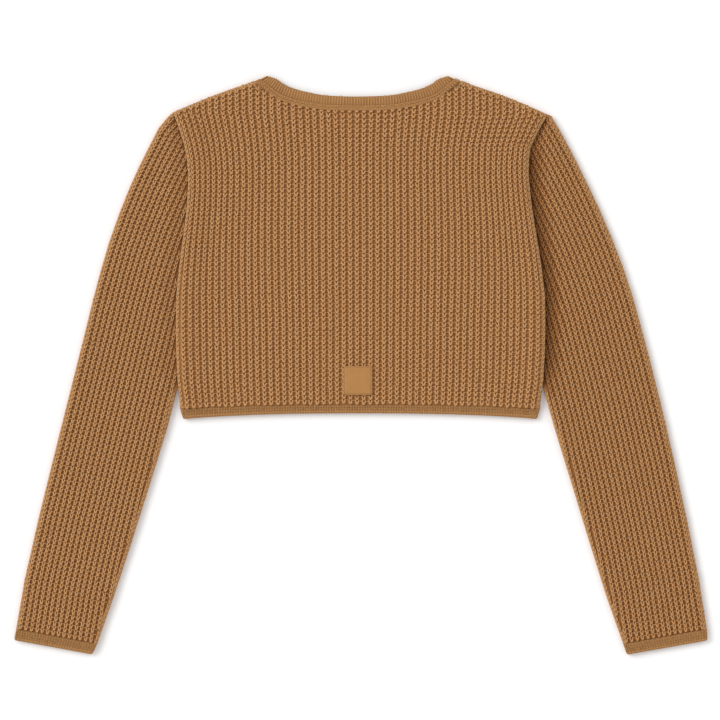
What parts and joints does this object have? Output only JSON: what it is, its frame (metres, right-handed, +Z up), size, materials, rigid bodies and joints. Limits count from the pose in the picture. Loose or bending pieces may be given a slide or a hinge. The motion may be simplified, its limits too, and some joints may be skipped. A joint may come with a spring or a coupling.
{
  "type": "cropped knit sweater",
  "caption": "Cropped long-sleeved pullover in a chunky ribbed knit, lying flat with its back up, with fine bands at the neck, hem and cuffs and a bare leather patch above the hem.",
  "frame": {"origin": "centre of the bounding box in plan, on the surface that the garment lies on", "axes": "+X towards the wearer's right sleeve, +Y towards the neck, +Z up from the surface through the back"},
  "size_m": [0.763, 0.6378, 0.0106],
  "materials": {
    "yarn": "soft brushed wool-blend yarn in a chunky half-cardigan rib, camel",
    "band_yarn": "the same yarn in a fine, smooth band knit",
    "leather": "smooth tan leather with a pressed border line, otherwise bare"
  },
  "bodies": {
    "root": {"back": "yarn", "front": "yarn", "sleeve_left": "yarn", "sleeve_right": "yarn", "neckband": "band_yarn", "hem_band": "band_yarn", "cuff_left": "band_yarn", "cuff_right": "band_yarn", "label_patch": "leather"}
  },
  "joints": []
}
